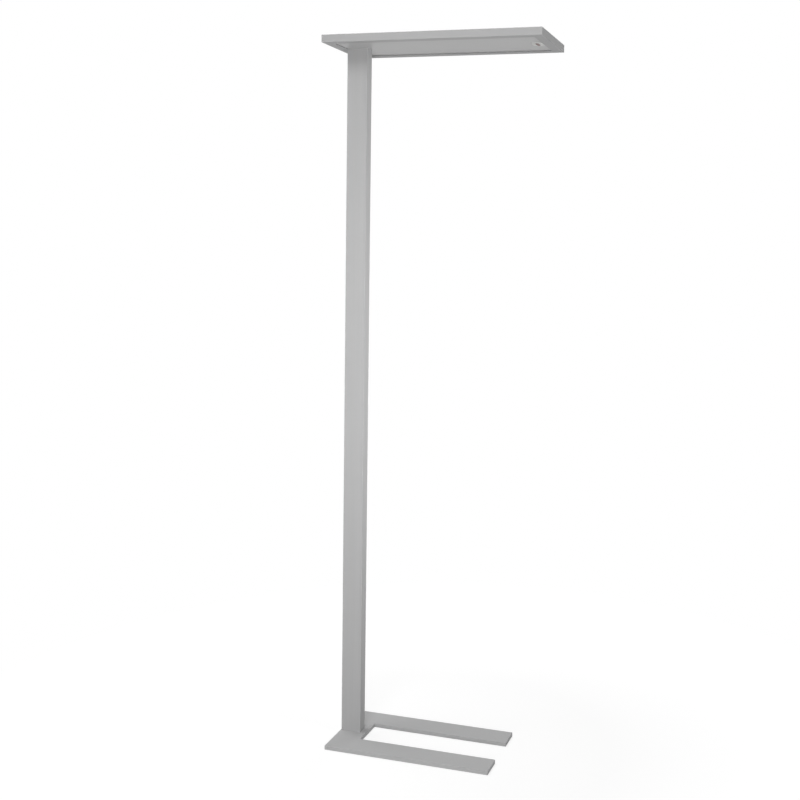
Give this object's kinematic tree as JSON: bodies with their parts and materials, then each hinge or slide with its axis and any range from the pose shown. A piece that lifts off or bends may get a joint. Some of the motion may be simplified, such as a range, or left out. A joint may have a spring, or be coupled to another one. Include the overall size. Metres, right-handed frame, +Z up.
{
  "type": "office floor lamp",
  "caption": "Slim silver office floor lamp: flat rectangular column on a U-shaped base carries a thin rectangular head with a recessed diffuser and a sensor.",
  "frame": {"origin": "on the floor, straight below the middle of the head, which is the middle of the whole lamp's box", "axes": "+Z up; +X from the column towards the free end of the head; +Y away from the picture's camera, towards the column face that has the push-button and the lead entry"},
  "size_m": [0.6, 0.246, 1.95],
  "materials": {
    "silver_coat": "satin silver-grey powder coat, very fine grain",
    "silver_anodised": "satin silver anodised extrusion",
    "black_rubber": "matt black rubber",
    "dark_steel": "black oxide steel",
    "zinc_steel": "bright zinc plated steel",
    "galvanised_sheet": "galvanised sheet steel",
    "mill_aluminium": "mill-finish aluminium sheet",
    "white_plastic": "fine-textured white plastic",
    "lead_sheath": "smooth pale cable sheath",
    "black_plastic": "moulded black plastic",
    "bezel_grey": "fine-textured grey plastic",
    "button_silver": "satin anodised cap with a turned face",
    "diffuser_opal": "opal acrylic with fine prisms, unlit",
    "clear_guide": "clear acrylic with polished edges",
    "reflector_white": "white diffuse film",
    "board_white": "white solder mask with yellow LED packages",
    "cover_satin": "satin translucent polycarbonate",
    "board_green": "green solder mask",
    "sensor_pale": "satin off-white plastic",
    "sensor_dark": "smoked red-brown infrared window"
  },
  "bodies": {
    "lamp": {"base_plate": "silver_coat", "column": "silver_anodised", "rail_near": "silver_anodised", "rail_far": "silver_anodised", "rail_column_end": "silver_anodised", "rail_free_end": "silver_anodised", "glide_pads": "black_rubber", "cable_grommet": "black_rubber", "base_screws": "dark_steel", "corner_screws": "dark_steel", "rail_screws": "dark_steel", "base_washers": "zinc_steel", "tray_spacers": "zinc_steel", "tray_screws": "zinc_steel", "driver_screws": "zinc_steel", "carrier_screws": "zinc_steel", "corner_brackets": "zinc_steel", "gear_tray": "galvanised_sheet", "driver_clips": "galvanised_sheet", "carrier_plate": "mill_aluminium", "terminal_block": "white_plastic", "led_driver": "white_plastic", "supply_lead": "lead_sheath", "output_lead": "lead_sheath", "switch_lead": "lead_sheath", "sensor_lead": "lead_sheath", "button_switch": "black_plastic", "button_bezel": "bezel_grey", "diffuser_panel": "diffuser_opal", "light_guide": "clear_guide", "reflector_sheet": "reflector_white", "led_strip_near": "board_white", "led_strip_far": "board_white", "uplight_board_near": "board_white", "uplight_board_far": "board_white", "upper_cover": "cover_satin", "junction_board": "board_green", "sensor_board": "board_green", "sensor_bezel": "sensor_pale", "sensor_window": "sensor_dark"},
    "button": {"dimmer_button": "button_silver"}
  },
  "joints": [
    {"name": "button_press", "type": "slide", "parent": "lamp", "child": "button", "axis": [0, -1, 0], "range_m": [0, 0.001], "stiffness_N_per_m": 800, "springref_m": -0.001}
  ]
}
